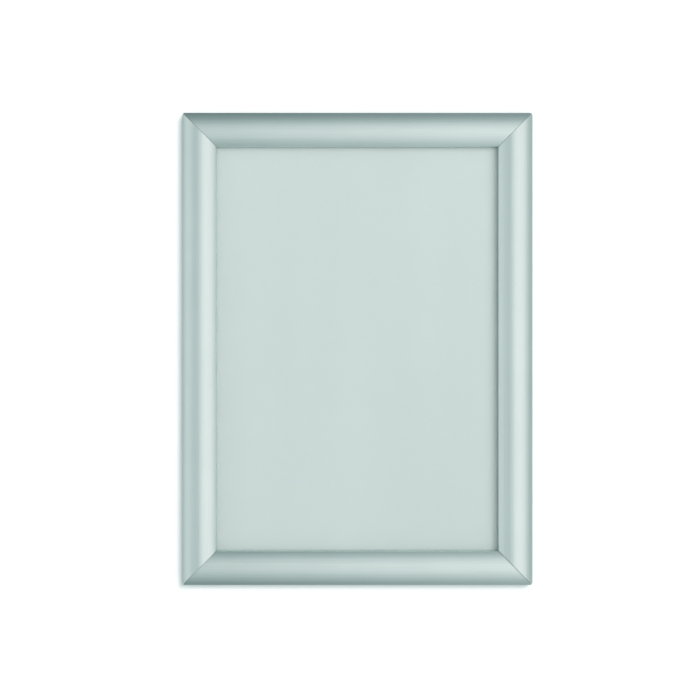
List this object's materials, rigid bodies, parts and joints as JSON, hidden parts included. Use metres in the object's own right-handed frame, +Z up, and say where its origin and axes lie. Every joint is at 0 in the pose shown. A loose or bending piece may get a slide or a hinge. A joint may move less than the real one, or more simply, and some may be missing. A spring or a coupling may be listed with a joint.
{
  "type": "snap poster frame",
  "caption": "Wall-hung poster frame with mitred aluminium rails that flip open on sprung hinges to change the sheet behind a clear cover.",
  "frame": {"origin": "middle of the plane that lies on the wall", "axes": "+Z up, +X to the viewer's right, -Y out of the wall towards the viewer"},
  "size_m": [0.25, 0.0128, 0.337],
  "materials": {
    "mill_aluminium": "plain extruded aluminium with fine die lines",
    "anodised_aluminium": "satin anodised, fine lengthwise grain",
    "spring_steel": "rolled spring steel strip",
    "zinc_plated_steel": "bright zinc plate, stamped edges",
    "black_steel": "black oxide",
    "panel_plastic": "matt polystyrene sheet",
    "clear_plastic": "clear anti-glare sheet, satin face"
  },
  "bodies": {
    "base": {"base_rail_bottom": "mill_aluminium", "base_rail_right": "mill_aluminium", "base_rail_top": "mill_aluminium", "base_rail_left": "mill_aluminium", "spring_bottom_a": "spring_steel", "spring_bottom_b": "spring_steel", "spring_right_a": "spring_steel", "spring_right_b": "spring_steel", "spring_top_a": "spring_steel", "spring_top_b": "spring_steel", "spring_left_a": "spring_steel", "spring_left_b": "spring_steel", "corner_bracket_bottom_left": "zinc_plated_steel", "corner_bracket_bottom_right": "zinc_plated_steel", "corner_bracket_top_right": "zinc_plated_steel", "corner_bracket_top_left": "zinc_plated_steel", "set_screw_bottom_left_a": "black_steel", "set_screw_bottom_left_b": "black_steel", "set_screw_bottom_right_a": "black_steel", "set_screw_bottom_right_b": "black_steel", "set_screw_top_right_a": "black_steel", "set_screw_top_right_b": "black_steel", "set_screw_top_left_a": "black_steel", "set_screw_top_left_b": "black_steel", "back_panel": "panel_plastic", "cover_sheet": "clear_plastic"},
    "bottom_flap": {"flip_rail_bottom": "anodised_aluminium"},
    "right_flap": {"flip_rail_right": "anodised_aluminium"},
    "top_flap": {"flip_rail_top": "anodised_aluminium"},
    "left_flap": {"flip_rail_left": "anodised_aluminium"}
  },
  "joints": [
    {"name": "bottom_flap_hinge", "type": "hinge", "parent": "base", "child": "bottom_flap", "pos_m": [0, -0.00445, -0.16601], "axis": [1, 0, 0], "range_deg": [0, 90], "deforming": ["spring_bottom_a", "spring_bottom_b"]},
    {"name": "right_flap_hinge", "type": "hinge", "parent": "base", "child": "right_flap", "pos_m": [0.12251, -0.00445, 0], "axis": [0, 0, 1], "range_deg": [0, 90], "deforming": ["spring_right_a", "spring_right_b"]},
    {"name": "top_flap_hinge", "type": "hinge", "parent": "base", "child": "top_flap", "pos_m": [0, -0.00445, 0.16601], "axis": [-1, 0, 0], "range_deg": [0, 90], "deforming": ["spring_top_a", "spring_top_b"]},
    {"name": "left_flap_hinge", "type": "hinge", "parent": "base", "child": "left_flap", "pos_m": [-0.12251, -0.00445, 0], "axis": [0, 0, -1], "range_deg": [0, 90], "deforming": ["spring_left_a", "spring_left_b"]}
  ]
}
